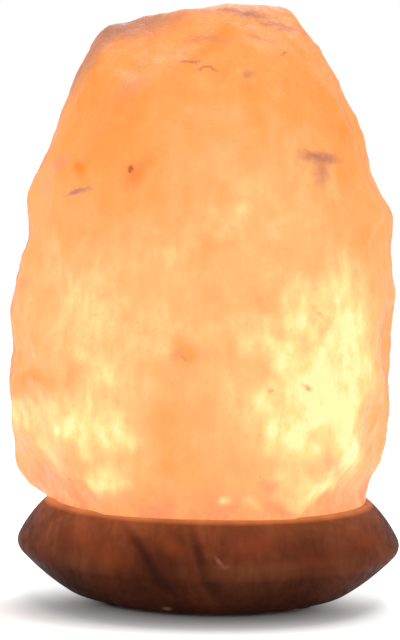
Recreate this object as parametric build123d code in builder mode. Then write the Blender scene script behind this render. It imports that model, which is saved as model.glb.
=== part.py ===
"""A salt crystal lamp: a hollowed block of rock salt screwed to a turned wooden base, lit from inside by a
small bulb whose holder is clipped into the base from below.

Millimetres. The origin is on the table under the middle of the base, +Z is up and the lamp faces -Y.
"""
import os
from math import atan2, cos, pi, radians, sin, sqrt

from build123d import *

# ---- fits ------------------------------------------------------------------------------------------------
SLIP = 0.1  # between fixed pieces that slide together
GRIP = 0.02  # between fixed pieces that are driven or cast together
HINGE_PLAY = 0.05  # round the roots of the clip's arms
SPRING_GAP = 0.3  # between the clip's arms and the wood that they press on
THREAD_PLAY = 0.25  # between the crests and the roots of the bulb's thread

# ---- lamp holder -------------------------------------------------------------------------------------------
HOLDER_RADIUS = 13.0
HOLDER_WALL = 1.6
HOLDER_FLOOR = 2.0
HOLDER_ROUND = 0.8
CORD_TURN_ROOM = 15.0  # from the table up to the holder, where the cord turns into its groove
CAP_HEIGHT = 13.0
SPIGOT_HEIGHT = 3.0  # of the cap inside the barrel
BARREL_HEIGHT = 31.0
FLANGE_REACH = 1.5  # of the collar round the barrel's mouth
FLANGE_HEIGHT = 1.5
MOUTH_HEIGHT = 2.5
MOUTH_ROOM = 0.3  # round the thread, inside the mouth
LEDGE_WIDTH = 1.8
LEDGE_HEIGHT = 1.5
CARRIER_THICKNESS = 4.0

# ---- cord inlet --------------------------------------------------------------------------------------------
CORD_RADIUS = 3.0
CORD_PLAY = 0.1
CORD_ROOM = 0.8  # across the groove in the base
GLAND_WALL = 2.2
GLAND_HEIGHT = 6.0
GLAND_FLANGE = 1.2  # how far and how high its lower rim stands out
GLAND_LIP = 0.6  # how far and how high its upper rim stands out

# ---- contacts and terminals --------------------------------------------------------------------------------
SHELL_WALL = 0.6
SHELL_HEIGHT = 17.0
SHELL_FLOOR_BORE = 4.6
SHELL_THREAD_START = 3.0  # above the shell's floor
SHELL_THREAD_TURNS = 4
LEAF_THICKNESS = 0.4
LEAF_WIDTH = 3.0
LEAF_REACH = 3.6
LEAF_SPREAD = 2.0  # from the carrier to the bulb's button
RIVET_RADIUS = 0.8
RIVET_HEAD_RADIUS = 1.2
RIVET_HEAD_HEIGHT = 0.5
RIVET_BITE = 1.8  # into the terminal
LEAF_RIVET_PLACE = 2.2  # from the holder's axis
TERMINAL_LENGTH = 6.8
TERMINAL_WIDTH = 6.0
TERMINAL_HEIGHT = 7.0
TERMINAL_GAP = 2.0  # between the two
WIRE_HOLE_RADIUS = 1.1
WIRE_HOLE_DEPTH = 4.0
CLAMP_RADIUS = 1.0
CLAMP_HEAD_RADIUS = 1.6
CLAMP_HEAD_HEIGHT = 1.2
SLOT_WIDTH = 0.5
SLOT_DEPTH = 0.6

# ---- screw thread, small Edison ----------------------------------------------------------------------------
THREAD_PITCH = 2.822
THREAD_ROUND = 0.75  # radius of the thread's rounded crest
THREAD_DEPTH = 0.65
BULB_CREST_RADIUS = 6.85

# ---- bulb --------------------------------------------------------------------------------------------------
BULB_LENGTH = 57.0
BULB_RADIUS = 14.0
GLASS_WALL = 0.8
BULB_CAP_LENGTH = 16.0
BULB_CAP_WALL = 0.5
BULB_THREAD_START = 2.0  # above the cap's lower edge
BULB_THREAD_TURNS = 3
INSULATOR_HEIGHT = 3.2
INSULATOR_RADIUS = 3.4
BUTTON_HEIGHT = 2.3
BUTTON_RADIUS = 2.6
BUTTON_ROUND = 0.5
NECK_LENGTH = 12.0
STEM_HEIGHT = 19.0
STEM_RADIUS = 1.8
STEM_FLARE = 1.5  # height of the stem's foot
STEM_TAPER = 3.0  # height in which the foot narrows to the stem
LEAD_RADIUS = 0.3
LEAD_PLACE = 1.0  # from the stem's axis
LEAD_RISE = 0.6  # above the stem, before the leads spread
LEAD_SPREAD = 5.0  # from the stem's axis at the filament
SUPPORT_RADIUS = 0.15
SUPPORT_SPREAD = 1.8
FILAMENT_RADIUS = 0.6
FILAMENT_WIRE = 0.12
FILAMENT_PITCH = 0.8
FILAMENT_GAP = 0.12  # above its supports

# ---- spring clip -------------------------------------------------------------------------------------------
STRIP_THICKNESS = 0.6
STRIP_WIDTH = 10.0
STRIP_BEND = 2.0
BAND_HEIGHT = 6.0
BAND_PLAY = 0.05
EAR_PLAY = 0.2
EAR_DROP = 5.0  # below the band, down to the bend where the arm flexes
ARM_ROOM = 7.0  # from the holder's side to the wall of the base's hole
ARM_BULGE_DEPTH = 4.0  # below the top of the wood
ARM_WAIST = 1.5  # how far the arm's lower end stands in from its bulge
TAB_LENGTH = 4.5
TAB_DROP = 0.8

# ---- turned wooden base ------------------------------------------------------------------------------------
BASE_HEIGHT = 29.5
RIM_RADIUS = 65.8  # where the two bevels would meet
RIM_HEIGHT = 14.5  # of the widest part above the foot
RIM_ROUND = 4.0
TOP_RADIUS = 55.0
TOP_ROUND = 1.5
FOOT_RADIUS = 49.0
FOOT_ROUND = 0.8
UPPER_BULGE = 1.1  # of the upper bevel, outside a straight cone
LOWER_BULGE = 0.8  # of the lower one
FINGER_ROOM = 9.0  # of the recess under the base, round its hole
RECESS_DEPTH = 7.0
CHIP_RADIUS = 14.0
CHIP_DEPTH = 3.6
CHIP_AZIMUTH = 191.0
PAD_RADIUS = 6.0
PAD_THICKNESS = 1.5

# ---- fixing of the crystal ---------------------------------------------------------------------------------
SCREW_RADIUS = 2.0
SCREW_LENGTH = 40.0
SCREW_POINT = 1.5
SCREW_PLAY = 0.3
SCREW_HEAD_RADIUS = 3.8
SCREW_HEAD_HEIGHT = 2.4
SCREW_HEAD_ROUND = 0.8
CROSS_LENGTH = 3.6
CROSS_WIDTH = 0.8
CROSS_DEPTH = 1.4
WASHER_RADIUS = 4.6
WASHER_THICKNESS = 0.8
COUNTERBORE_ROOM = 0.4  # round the washers
COUNTERBORE_DEPTH = 9.0
ANCHOR_WALL = 2.0
ANCHOR_LENGTH = 22.0
ANCHOR_SLOT_LENGTH = 12.0
ANCHOR_HOLE_SPARE = 1.0  # beyond the anchor's end
SALT_WALL = 9.0  # of salt between the bore and the anchors

# ---- salt crystal ------------------------------------------------------------------------------------------
BORE_STEP = 5.0  # how much wider the salt's bore is than the hole in the wood
BORE_DEPTH = 95.0
FOOT_INSET = 1.0  # of the crystal's foot inside the base's top
SECTION_FULLNESS = 2.35  # 2 is an ellipse, more is squarer
QUARTER_POINTS = 7  # along each quarter of a section
CRYSTAL_HEIGHT = 168.0  # of the block before the chisel flattens its top
CRYSTAL_REACH = 60.0  # from the lamp's axis to the block's side, near its middle
# height above the crystal's foot as a share of its height, and its reach to the left, right, front and back
# as shares of its reach
OUTLINE = [
    (0.012, 0.985, 0.900, 0.908, 0.908),
    (0.036, 1.062, 0.908, 0.925, 0.933),
    (0.083, 1.116, 0.963, 0.950, 0.975),
    (0.149, 1.125, 1.000, 0.975, 1.008),
    (0.286, 1.108, 1.000, 0.992, 1.025),
    (0.369, 1.120, 1.017, 0.983, 1.017),
    (0.458, 1.088, 1.008, 0.958, 0.992),
    (0.530, 1.037, 0.992, 0.933, 0.967),
    (0.577, 1.047, 0.975, 0.917, 0.942),
    (0.631, 1.017, 0.900, 0.883, 0.908),
    (0.702, 0.930, 0.858, 0.825, 0.850),
    (0.786, 0.850, 0.780, 0.742, 0.775),
    (0.869, 0.775, 0.647, 0.650, 0.683),
    (0.935, 0.692, 0.550, 0.567, 0.583),
    (1.000, 0.500, 0.433, 0.450, 0.450),
]
# flat cuts left by the chisel: azimuth and elevation of each face, and its distance from the block's middle
# as a share of what an egg of the block's height and reach has there
CHISEL_CUTS = [
    (0, 90, 0.956),
    (180, 82, 0.950),
    (0, 47, 1.003),
    (-90, 3, 0.940),
    (-131, 8, 0.983),
    (-47, 6, 0.970),
    (42, 5, 0.996),
    (93, -2, 0.974),
    (139, 4, 0.998),
    (-112, 40, 0.987),
    (-60, 44, 1.020),
    (75, 42, 0.962),
    (128, 36, 1.011),
    (-150, -28, 1.287),
    (-30, -30, 1.242),
    (35, -28, 1.272),
    (150, -30, 1.287),
]
# shallow scoops that the chisel left: azimuth, height as a share of the crystal's, and lean upwards
SCOOP_WIDTH = 33.0
SCOOP_DEPTH = 1.5
SCOOPS = [
    (-149, 0.14, -8),
    (-112, 0.11, -9),
    (-70, 0.15, -7),
    (-27, 0.12, -8),
    (25, 0.15, -8),
    (64, 0.11, -9),
    (107, 0.14, -7),
    (151, 0.12, -8),
    (-154, 0.31, 0),
    (-124, 0.28, -1),
    (-91, 0.32, 0),
    (-50, 0.29, 1),
    (-20, 0.33, 0),
    (31, 0.30, 1),
    (72, 0.27, 0),
    (119, 0.31, -1),
    (157, 0.29, 0),
    (-143, 0.45, 4),
    (-107, 0.48, 3),
    (-66, 0.44, 4),
    (-31, 0.49, 5),
    (22, 0.46, 4),
    (49, 0.45, 3),
    (88, 0.48, 4),
    (134, 0.46, 5),
    (165, 0.44, 4),
    (-151, 0.61, 8),
    (-116, 0.64, 9),
    (-80, 0.60, 8),
    (-42, 0.65, 10),
    (27, 0.62, 12),
    (68, 0.64, 9),
    (110, 0.61, 8),
    (149, 0.63, 9),
    (-137, 0.78, 14),
    (-97, 0.76, 15),
    (-55, 0.80, 16),
    (-21, 0.77, 22),
    (44, 0.79, 20),
    (87, 0.77, 15),
    (129, 0.80, 14),
    (162, 0.76, 12),
    (-118, 0.91, 34),
    (-68, 0.90, 36),
    (26, 0.91, 42),
    (75, 0.90, 38),
    (127, 0.92, 34),
]

# ---- sizes that follow: the base ---------------------------------------------------------------------------
WOOD_BOTTOM = PAD_THICKNESS
WOOD_TOP = WOOD_BOTTOM + BASE_HEIGHT
HOLE_RADIUS = HOLDER_RADIUS + ARM_ROOM
RECESS_RADIUS = HOLE_RADIUS + FINGER_ROOM
RECESS_CEILING = WOOD_BOTTOM + RECESS_DEPTH
PAD_CIRCLE_RADIUS = (RECESS_RADIUS + FOOT_RADIUS) / 2
GROOVE_WIDTH = 2 * CORD_RADIUS + CORD_ROOM
GROOVE_ROUND_CENTRE = WOOD_BOTTOM + GROOVE_WIDTH / 2
BORE_RADIUS = HOLE_RADIUS + BORE_STEP
ANCHOR_RADIUS = SCREW_RADIUS + ANCHOR_WALL
SCREW_CIRCLE_RADIUS = BORE_RADIUS + SALT_WALL + ANCHOR_RADIUS
SCREW_SEAT = WOOD_BOTTOM + COUNTERBORE_DEPTH
SCREW_HEAD_TOP = SCREW_SEAT - WASHER_THICKNESS
CRYSTAL_MIDDLE = WOOD_TOP + CRYSTAL_HEIGHT / 2
SCOOP_RADIUS = (SCOOP_WIDTH / 2) ** 2 / (2 * SCOOP_DEPTH) + SCOOP_DEPTH / 2

# ---- sizes that follow: the holder -------------------------------------------------------------------------
HOLDER_BOTTOM = CORD_TURN_ROOM
HOLDER_BORE = HOLDER_RADIUS - HOLDER_WALL
BARREL_BOTTOM = HOLDER_BOTTOM + CAP_HEIGHT
BARREL_TOP = BARREL_BOTTOM + BARREL_HEIGHT
SPIGOT_RADIUS = HOLDER_BORE - SLIP
SPIGOT_BORE = SPIGOT_RADIUS - HOLDER_WALL
CARRIER_BOTTOM = BARREL_BOTTOM + SPIGOT_HEIGHT
CARRIER_TOP = CARRIER_BOTTOM + CARRIER_THICKNESS
GLAND_RADIUS = CORD_RADIUS + CORD_PLAY + GLAND_WALL
SHELL_BORE = BULB_CREST_RADIUS + THREAD_PLAY
SHELL_RADIUS = SHELL_BORE + SHELL_WALL
SHELL_HELIX_RADIUS = BULB_CREST_RADIUS - THREAD_DEPTH + THREAD_PLAY + THREAD_ROUND
MOUTH_RADIUS = SHELL_HELIX_RADIUS + THREAD_ROUND + MOUTH_ROOM
TERMINAL_PLACE = (TERMINAL_GAP + TERMINAL_LENGTH) / 2
SHELL_RIVET_PLACE = (SHELL_FLOOR_BORE + SHELL_BORE) / 2
RIVET_PLACES = [(-LEAF_RIVET_PLACE, 0), (SHELL_RIVET_PLACE, 0)]
TERMINAL_BOTTOM = CARRIER_BOTTOM - TERMINAL_HEIGHT
TERMINAL_PLACES = [(-TERMINAL_PLACE, 0), (TERMINAL_PLACE, 0)]
TERMINAL_FRONT = Plane.XZ.offset(TERMINAL_WIDTH / 2)
CLAMP_HEIGHT = TERMINAL_BOTTOM + WIRE_HOLE_DEPTH / 2
CLAMP_PLACES = [(-TERMINAL_PLACE, CLAMP_HEIGHT), (TERMINAL_PLACE, CLAMP_HEIGHT)]

# ---- sizes that follow: the bulb ---------------------------------------------------------------------------
BULB_BOTTOM = CARRIER_TOP + LEAF_SPREAD
BULB_TOP = BULB_BOTTOM + BULB_LENGTH
BULB_CAP_BOTTOM = BULB_BOTTOM + BUTTON_HEIGHT + INSULATOR_HEIGHT
BULB_CAP_TOP = BULB_CAP_BOTTOM + BULB_CAP_LENGTH
BULB_CAP_RADIUS = BULB_CREST_RADIUS - THREAD_DEPTH
BULB_HELIX_RADIUS = BULB_CREST_RADIUS - THREAD_ROUND
BULB_THREAD_BOTTOM = BULB_CAP_BOTTOM + BULB_THREAD_START
LEAD_PLACES = [(-LEAD_PLACE, 0), (LEAD_PLACE, 0)]
NECK_RADIUS = BULB_HELIX_RADIUS - THREAD_ROUND - SLIP
NECK_BOTTOM = BULB_CAP_TOP - NECK_LENGTH
GLASS_CENTRE = BULB_TOP - BULB_RADIUS
STEM_TOP = NECK_BOTTOM + STEM_HEIGHT
SUPPORT_TOP = GLASS_CENTRE - FILAMENT_RADIUS - FILAMENT_WIRE - FILAMENT_GAP
# the shell's thread keeps half a pitch away from the bulb's
THREAD_TURNS_BELOW = round((BULB_THREAD_BOTTOM - CARRIER_TOP - SHELL_THREAD_START) / THREAD_PITCH + 0.5)
SHELL_THREAD_BOTTOM = BULB_THREAD_BOTTOM - (THREAD_TURNS_BELOW - 0.5) * THREAD_PITCH

# ---- sizes that follow: the clip ---------------------------------------------------------------------------
BAND_BORE = HOLDER_RADIUS + BAND_PLAY
BAND_TOP = BARREL_TOP - FLANGE_HEIGHT
BAND_BOTTOM = BAND_TOP - BAND_HEIGHT
EAR_INNER = HOLDER_RADIUS + EAR_PLAY
PIVOT_REACH = EAR_INNER + STRIP_THICKNESS / 2
PIVOT_HEIGHT = BAND_BOTTOM - EAR_DROP
WALL_REACH = sqrt((HOLE_RADIUS - SPRING_GAP) ** 2 - (STRIP_WIDTH / 2) ** 2)
BULGE_REACH = WALL_REACH - STRIP_THICKNESS / 2
BULGE_HEIGHT = WOOD_TOP - ARM_BULGE_DEPTH
WAIST_REACH = BULGE_REACH - ARM_WAIST
TAB_HEIGHT = RECESS_CEILING - SPRING_GAP - STRIP_THICKNESS / 2


def level(height):
    """The horizontal plane at a height."""
    return Plane.XY.offset(height)


def around(radius, azimuths, height=0.0):
    """Places on a circle about the lamp's axis."""
    return [(radius * cos(radians(a)), radius * sin(radians(a)), height) for a in azimuths]


def section_quarter(start, reaches):
    """Points and end tangents of a quarter of one level of the crystal, a superellipse whose quarters
    reach out differently. It starts at a quarter turn of its own from the right."""
    left, right, front, back = (share * CRYSTAL_REACH for share in reaches)
    points = []
    for k in range(QUARTER_POINTS):
        turn = (start + k / (QUARTER_POINTS - 1)) * pi / 2
        across = cos(turn) / (right if start in (0, 3) else left)
        along = sin(turn) / (back if start in (0, 1) else front)
        squareness = abs(across) ** SECTION_FULLNESS + abs(along) ** SECTION_FULLNESS
        reach = squareness ** (-1 / SECTION_FULLNESS)
        points.append((reach * cos(turn), reach * sin(turn)))
    tangents = [(-sin(quarter * pi / 2), cos(quarter * pi / 2)) for quarter in (start, start + 1)]
    return points, tangents


def block_surface(azimuth, height):
    """The point where a level ray from the lamp's axis leaves the block, its flat cuts included."""
    shares = [station[0] for station in OUTLINE]
    upper = next(k for k, share in enumerate(shares) if share >= height)
    low, high = OUTLINE[upper - 1], OUTLINE[upper]
    part = (height - low[0]) / (high[0] - low[0])
    left, right, front, back = (CRYSTAL_REACH * (a + part * (b - a)) for a, b in zip(low[1:], high[1:]))
    outward = Vector(cos(radians(azimuth)), sin(radians(azimuth)))
    across = abs(outward.X) / (right if outward.X > 0 else left)
    along = abs(outward.Y) / (back if outward.Y > 0 else front)
    reach = (across ** SECTION_FULLNESS + along ** SECTION_FULLNESS) ** (-1 / SECTION_FULLNESS)
    start = Vector(0, 0, WOOD_TOP + height * CRYSTAL_HEIGHT)
    for cut in CHISEL_CUTS:
        plane = chisel_plane(*cut)
        slope = plane.z_dir.dot(outward)
        if slope > 0:
            reach = min(reach, plane.z_dir.dot(plane.origin - start) / slope)
    return start + outward * reach


def scoop_place(azimuth, height, lean):
    """The middle of the ball whose lowest cap makes a scoop there."""
    facing = Vector(1, 0, 0).rotate(Axis.Y, -lean).rotate(Axis.Z, azimuth)
    return block_surface(azimuth, height) + facing * (SCOOP_RADIUS - SCOOP_DEPTH)


def chisel_plane(azimuth, elevation, share):
    """The plane of a flat cut, facing outwards, placed by the support of an egg about the block's middle."""
    facing = Vector(1, 0, 0).rotate(Axis.Y, -elevation).rotate(Axis.Z, azimuth)
    egg = Vector(CRYSTAL_REACH * cos(radians(elevation)), CRYSTAL_HEIGHT / 2 * sin(radians(elevation)))
    return Plane(origin=Vector(0, 0, CRYSTAL_MIDDLE) + facing * egg.length * share, z_dir=facing)


def ridge_path(radius, height, turns):
    """The middle line of a thread's rounded ridge."""
    return Edge.make_helix(THREAD_PITCH, THREAD_PITCH * turns, radius, center=(0, 0, height))


SCREW_PLACES = around(SCREW_CIRCLE_RADIUS, (0, 180, -90))  # the cord's groove takes the fourth quarter
PAD_PLACES = around(PAD_CIRCLE_RADIUS, (45, 135, 225, 315))

# ---- the wooden base ---------------------------------------------------------------------------------------
with BuildPart() as wood_base:
    with BuildSketch(Plane.XZ) as base_profile:
        with BuildLine():
            foot = (FOOT_RADIUS, WOOD_BOTTOM)
            rim = (RIM_RADIUS, WOOD_BOTTOM + RIM_HEIGHT)
            shoulder = (TOP_RADIUS, WOOD_TOP)
            Polyline(shoulder, (0, WOOD_TOP), (0, WOOD_BOTTOM), foot)
            SagittaArc(foot, rim, -LOWER_BULGE)
            SagittaArc(rim, shoulder, -UPPER_BULGE)
        make_face()
        fillet(base_profile.vertices().sort_by(Axis.X)[-1], RIM_ROUND)
        fillet(base_profile.vertices().group_by(Axis.Y)[-1].sort_by(Axis.X)[-1], TOP_ROUND)
        fillet(base_profile.vertices().group_by(Axis.Y)[0].sort_by(Axis.X)[-1], FOOT_ROUND)
    revolve(axis=Axis.Z)
    # the hole for the holder, and the room for fingers round its lower end
    with BuildSketch(level(WOOD_BOTTOM)):
        Circle(RECESS_RADIUS)
    extrude(amount=RECESS_DEPTH, mode=Mode.SUBTRACT)
    with BuildSketch(level(WOOD_BOTTOM)):
        Circle(HOLE_RADIUS)
    extrude(amount=BASE_HEIGHT, mode=Mode.SUBTRACT)
    # the cord's groove, round at the top, out to the back
    with BuildSketch(Plane.XZ):
        with Locations((0, GROOVE_ROUND_CENTRE)):
            Circle(GROOVE_WIDTH / 2)
            Rectangle(GROOVE_WIDTH, GROOVE_WIDTH, align=(Align.CENTER, Align.MAX))
    extrude(amount=-2 * RIM_RADIUS, mode=Mode.SUBTRACT)
    # counterbored holes for the screws
    with BuildSketch(level(WOOD_BOTTOM)):
        with Locations(SCREW_PLACES):
            Circle(WASHER_RADIUS + COUNTERBORE_ROOM)
    extrude(amount=COUNTERBORE_DEPTH, mode=Mode.SUBTRACT)
    with BuildSketch(level(SCREW_SEAT)):
        with Locations(SCREW_PLACES):
            Circle(SCREW_RADIUS + SCREW_PLAY)
    extrude(amount=BASE_HEIGHT, mode=Mode.SUBTRACT)
    # a chip out of the foot's edge, square to the corner there
    bevel_slope = atan2(RIM_HEIGHT, RIM_RADIUS - FOOT_RADIUS)
    corner_slope = (bevel_slope - pi) / 2
    chip_offset = CHIP_RADIUS - CHIP_DEPTH
    with Locations(around(FOOT_RADIUS + chip_offset * cos(corner_slope), [CHIP_AZIMUTH],
                          WOOD_BOTTOM + chip_offset * sin(corner_slope))):
        Sphere(CHIP_RADIUS, mode=Mode.SUBTRACT)

# ---- felt pads under the base ------------------------------------------------------------------------------
with BuildPart() as felt_pads:
    with BuildSketch():
        with Locations(PAD_PLACES):
            Circle(PAD_RADIUS)
    extrude(amount=PAD_THICKNESS)

# ---- the salt crystal --------------------------------------------------------------------------------------
with BuildPart() as salt_crystal:
    foot_share = (TOP_RADIUS - FOOT_INSET) / CRYSTAL_REACH
    for height, *reaches in [(0.0, *[foot_share] * 4), *OUTLINE]:
        with BuildSketch(level(WOOD_TOP + height * CRYSTAL_HEIGHT)):
            with BuildLine():
                for quarter in range(4):
                    points, tangents = section_quarter(quarter, reaches)
                    Spline(*points, tangents=tangents)
            make_face()
    loft()
    for azimuth, elevation, share in CHISEL_CUTS:
        split(bisect_by=chisel_plane(azimuth, elevation, share), keep=Keep.BOTTOM)
    with Locations([scoop_place(*scoop) for scoop in SCOOPS]):
        Sphere(SCOOP_RADIUS, mode=Mode.SUBTRACT)
    # the bore for the bulb, blind, and the holes for the screws' anchors
    with BuildSketch(level(WOOD_TOP)):
        Circle(BORE_RADIUS)
    extrude(amount=BORE_DEPTH, mode=Mode.SUBTRACT)
    with BuildSketch(level(WOOD_TOP)):
        with Locations(SCREW_PLACES):
            Circle(ANCHOR_RADIUS + SLIP)
    extrude(amount=ANCHOR_LENGTH + ANCHOR_HOLE_SPARE, mode=Mode.SUBTRACT)

# ---- screws, washers and anchors that hold the crystal -----------------------------------------------------
with BuildPart() as crystal_screws:
    with BuildSketch(level(SCREW_HEAD_TOP)):
        with Locations(SCREW_PLACES):
            Circle(SCREW_HEAD_RADIUS)
    extrude(amount=-SCREW_HEAD_HEIGHT)
    fillet(crystal_screws.edges().group_by(Axis.Z)[0], SCREW_HEAD_ROUND)
    with BuildSketch(level(SCREW_HEAD_TOP)):
        with Locations(SCREW_PLACES):
            Circle(SCREW_RADIUS)
    extrude(amount=SCREW_LENGTH)
    chamfer(crystal_screws.edges().group_by(Axis.Z)[-1], SCREW_POINT)
    with BuildSketch(level(SCREW_HEAD_TOP - SCREW_HEAD_HEIGHT)):
        with Locations(SCREW_PLACES):
            Rectangle(CROSS_LENGTH, CROSS_WIDTH)
            Rectangle(CROSS_WIDTH, CROSS_LENGTH)
    extrude(amount=CROSS_DEPTH, mode=Mode.SUBTRACT)

with BuildPart() as screw_washers:
    with BuildSketch(level(SCREW_HEAD_TOP)):
        with Locations(SCREW_PLACES):
            Circle(WASHER_RADIUS)
            Circle(SCREW_RADIUS + SCREW_PLAY, mode=Mode.SUBTRACT)
    extrude(amount=WASHER_THICKNESS)

with BuildPart() as screw_anchors:
    with BuildSketch(level(WOOD_TOP)):
        with Locations(SCREW_PLACES):
            Circle(ANCHOR_RADIUS)
            Circle(SCREW_RADIUS + GRIP, mode=Mode.SUBTRACT)
    extrude(amount=ANCHOR_LENGTH)
    with BuildSketch(level(WOOD_TOP + ANCHOR_LENGTH)):
        with Locations(SCREW_PLACES):
            Rectangle(CROSS_WIDTH, 2 * (ANCHOR_RADIUS + SLIP))
    extrude(amount=-ANCHOR_SLOT_LENGTH, mode=Mode.SUBTRACT)

# ---- the lamp holder ---------------------------------------------------------------------------------------
with BuildPart() as holder_cap:
    with BuildSketch(Plane.XZ) as cap_profile:
        with BuildLine():
            inside_top = BARREL_BOTTOM - HOLDER_WALL
            Polyline(
                (GLAND_RADIUS + SLIP, HOLDER_BOTTOM),
                (HOLDER_RADIUS, HOLDER_BOTTOM),
                (HOLDER_RADIUS, BARREL_BOTTOM),
                (SPIGOT_RADIUS, BARREL_BOTTOM),
                (SPIGOT_RADIUS, CARRIER_BOTTOM),
                (SPIGOT_BORE, CARRIER_BOTTOM),
                (SPIGOT_BORE, inside_top),
                (HOLDER_BORE, inside_top),
                (HOLDER_BORE, HOLDER_BOTTOM + HOLDER_FLOOR),
                (GLAND_RADIUS + SLIP, HOLDER_BOTTOM + HOLDER_FLOOR),
                close=True,
            )
        make_face()
        fillet(cap_profile.vertices().group_by(Axis.Y)[0].sort_by(Axis.X)[-1], HOLDER_ROUND)
    revolve(axis=Axis.Z)

with BuildPart() as holder_barrel:
    with BuildSketch(Plane.XZ):
        with BuildLine():
            Polyline(
                (HOLDER_BORE, BARREL_BOTTOM),
                (HOLDER_RADIUS, BARREL_BOTTOM),
                (HOLDER_RADIUS, BAND_TOP),
                (HOLDER_RADIUS + FLANGE_REACH, BAND_TOP),
                (HOLDER_RADIUS + FLANGE_REACH, BARREL_TOP),
                (MOUTH_RADIUS, BARREL_TOP),
                (MOUTH_RADIUS, BARREL_TOP - MOUTH_HEIGHT),
                (HOLDER_BORE, BARREL_TOP - MOUTH_HEIGHT),
                (HOLDER_BORE, CARRIER_TOP + LEDGE_HEIGHT),
                (HOLDER_BORE - LEDGE_WIDTH, CARRIER_TOP + LEDGE_HEIGHT),
                (HOLDER_BORE - LEDGE_WIDTH, CARRIER_TOP),
                (HOLDER_BORE, CARRIER_TOP),
                close=True,
            )
        make_face()
    revolve(axis=Axis.Z)

with BuildPart() as cord_gland:
    with BuildSketch(Plane.XZ):
        with BuildLine():
            gland_bore = CORD_RADIUS + CORD_PLAY
            gland_bottom = HOLDER_BOTTOM - GLAND_FLANGE
            floor_top = HOLDER_BOTTOM + HOLDER_FLOOR
            Polyline(
                (gland_bore, gland_bottom),
                (GLAND_RADIUS + GLAND_FLANGE, gland_bottom),
                (GLAND_RADIUS + GLAND_FLANGE, HOLDER_BOTTOM),
                (GLAND_RADIUS, HOLDER_BOTTOM),
                (GLAND_RADIUS, floor_top),
                (GLAND_RADIUS + GLAND_LIP, floor_top),
                (GLAND_RADIUS + GLAND_LIP, floor_top + GLAND_LIP),
                (GLAND_RADIUS, gland_bottom + GLAND_HEIGHT),
                (gland_bore, gland_bottom + GLAND_HEIGHT),
                close=True,
            )
        make_face()
    revolve(axis=Axis.Z)

# ---- contacts and terminals inside the holder --------------------------------------------------------------
with BuildPart() as contact_carrier:
    with BuildSketch(level(CARRIER_BOTTOM)):
        Circle(HOLDER_BORE - SLIP)
        with Locations(RIVET_PLACES):
            Circle(RIVET_RADIUS + GRIP, mode=Mode.SUBTRACT)
    extrude(amount=CARRIER_THICKNESS)

with BuildPart() as screw_shell:
    with BuildSketch(level(CARRIER_TOP)):
        Circle(SHELL_RADIUS)
        Circle(SHELL_BORE, mode=Mode.SUBTRACT)
    extrude(amount=SHELL_HEIGHT)
    with BuildSketch(level(CARRIER_TOP)):
        Circle(SHELL_RADIUS)
        Circle(SHELL_FLOOR_BORE, mode=Mode.SUBTRACT)
        with Locations(RIVET_PLACES[1]):
            Circle(RIVET_RADIUS + GRIP, mode=Mode.SUBTRACT)
    extrude(amount=SHELL_WALL)
    shell_ridge = ridge_path(SHELL_HELIX_RADIUS, SHELL_THREAD_BOTTOM, SHELL_THREAD_TURNS)
    with BuildSketch(Plane(origin=shell_ridge @ 0, z_dir=shell_ridge % 0)):
        Circle(THREAD_ROUND)
    sweep(path=shell_ridge, is_frenet=True)

with BuildPart() as centre_contact:
    with BuildSketch(Plane.XZ):
        leaf_foot = CARRIER_TOP + LEAF_THICKNESS / 2
        leaf_top = BULB_BOTTOM - LEAF_THICKNESS / 2
        leaf_end = LEAF_REACH - LEAF_THICKNESS / 2
        with BuildLine() as leaf_path:
            Polyline(
                (-LEAF_REACH, leaf_foot),
                (leaf_end, leaf_foot),
                (leaf_end, leaf_top),
                (-BUTTON_RADIUS, leaf_top),
            )
        trace(line_width=LEAF_THICKNESS)
    extrude(amount=LEAF_WIDTH / 2, both=True)
    with BuildSketch(level(CARRIER_TOP)):
        with Locations(RIVET_PLACES[0]):
            Circle(RIVET_RADIUS + GRIP)
    extrude(amount=LEAF_THICKNESS, mode=Mode.SUBTRACT)

with BuildPart() as contact_rivets:
    for place, seat in zip(RIVET_PLACES, (CARRIER_TOP + LEAF_THICKNESS, CARRIER_TOP + SHELL_WALL)):
        with BuildSketch(level(CARRIER_BOTTOM - RIVET_BITE)):
            with Locations(place):
                Circle(RIVET_RADIUS)
        extrude(amount=RIVET_BITE + seat - CARRIER_BOTTOM)
        with BuildSketch(level(seat)):
            with Locations(place):
                Circle(RIVET_HEAD_RADIUS)
        extrude(amount=RIVET_HEAD_HEIGHT)

with BuildPart() as terminal_blocks:
    with BuildSketch(level(TERMINAL_BOTTOM)):
        with Locations(TERMINAL_PLACES):
            Rectangle(TERMINAL_LENGTH, TERMINAL_WIDTH)
    extrude(amount=TERMINAL_HEIGHT)
    with BuildSketch(level(TERMINAL_BOTTOM)):
        with Locations(TERMINAL_PLACES):
            Circle(WIRE_HOLE_RADIUS)
    extrude(amount=WIRE_HOLE_DEPTH, mode=Mode.SUBTRACT)
    with BuildSketch(level(CARRIER_BOTTOM)):
        with Locations(RIVET_PLACES):
            Circle(RIVET_RADIUS + GRIP)
    extrude(amount=-RIVET_BITE, mode=Mode.SUBTRACT)
    with BuildSketch(TERMINAL_FRONT):
        with Locations(CLAMP_PLACES):
            Circle(CLAMP_RADIUS + GRIP)
    extrude(amount=-TERMINAL_WIDTH / 2, mode=Mode.SUBTRACT)

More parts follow.
